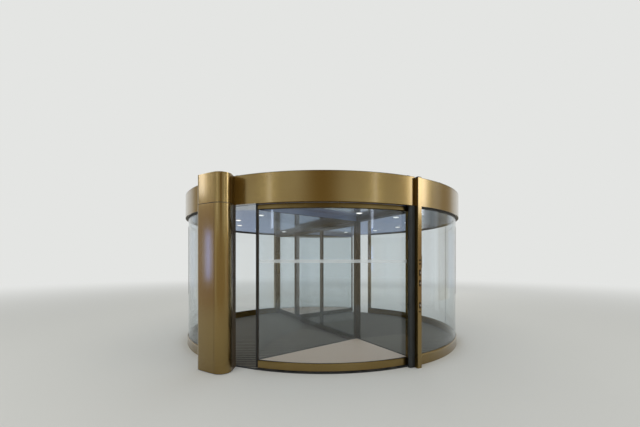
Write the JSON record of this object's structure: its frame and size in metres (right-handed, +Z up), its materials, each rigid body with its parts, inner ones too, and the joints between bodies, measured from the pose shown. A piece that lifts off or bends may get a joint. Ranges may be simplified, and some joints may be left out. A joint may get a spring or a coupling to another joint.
{
  "type": "two-wing automatic revolving door",
  "caption": "Large two-wing revolving door: glazed drum with bronze canopy and service column, turning rotor with two glazed showcases and sliding centre leaves.",
  "frame": {"origin": "middle of the drum on the floor, at the rotor's axis", "axes": "+Z up along the rotor's axis, -Y towards the room side, +X to the right as seen from the room"},
  "size_m": [5.9497, 5.9496, 2.954],
  "materials": {
    "bronze": "satin bronze anodised aluminium",
    "dark_bronze": "dark bronze anodised aluminium",
    "glass": "clear laminated safety glass",
    "rubber": "matt black rubber",
    "mat": "dark ribbed entrance matting",
    "knob": "dark knobs and a bright lock",
    "grille": "black speckled grille",
    "steel": "mill finish steel",
    "cover": "painted dust cover",
    "ceiling": "smooth grey-blue panel",
    "lamp": "white lamp glass",
    "board": "beige display board",
    "brush": "black nylon brush"
  },
  "bodies": {
    "drum": {"floor_mat": "mat", "wall_floor_rails": "bronze", "right_glass_1": "glass", "right_glass_2": "glass", "left_glass_1": "glass", "left_glass_2": "glass", "wall_head_rails": "rubber", "inside_right_post": "bronze", "street_posts": "bronze", "safety_rubbers": "rubber", "control_knobs": "knob", "column_grille": "grille", "column_lower": "bronze", "column_head": "bronze", "fascia_inside": "bronze", "fascia_right": "bronze", "fascia_street": "bronze", "fascia_left": "bronze", "fascia_clips": "dark_bronze", "canopy_ring": "steel", "canopy_beams": "steel", "bearing_housing": "steel", "roof_cover": "cover"},
    "rotor": {"rotor_shaft": "steel", "rotor_ceiling": "ceiling", "ceiling_spots": "lamp", "header_track": "dark_bronze", "curved_bottom_rails": "bronze", "curved_top_rails": "bronze", "curved_glass": "glass", "nose_stiles": "dark_bronze", "end_stiles": "bronze", "apex_posts": "dark_bronze", "slant_rails": "dark_bronze", "slant_glass": "glass", "screen_rails": "dark_bronze", "screen_glass": "glass", "showcase_floors": "board", "rotor_brushes": "brush"},
    "leaf_a": {"leaf_a_frame": "dark_bronze", "leaf_a_glass": "glass", "leaf_a_brush": "brush", "leaf_a_hangers": "steel"},
    "leaf_b": {"leaf_b_frame": "dark_bronze", "leaf_b_glass": "glass", "leaf_b_brush": "brush", "leaf_b_hangers": "steel"}
  },
  "joints": [
    {"name": "rotor_turn", "type": "hinge", "parent": "drum", "child": "rotor", "pos_m": [0, 0, 0], "axis": [0, 0, 1], "continuous": true},
    {"name": "leaf_a_slide", "type": "slide", "parent": "rotor", "child": "leaf_a", "axis": [0.4894, -0.8721, 0], "range_m": [0, 1.3]},
    {"name": "leaf_b_slide", "type": "slide", "parent": "rotor", "child": "leaf_b", "axis": [-0.4894, 0.8721, 0], "range_m": [0, 1.3]}
  ],
  "couplings": [
    {"joint": "leaf_b_slide", "follows": "leaf_a_slide", "ratio": 1}
  ]
}
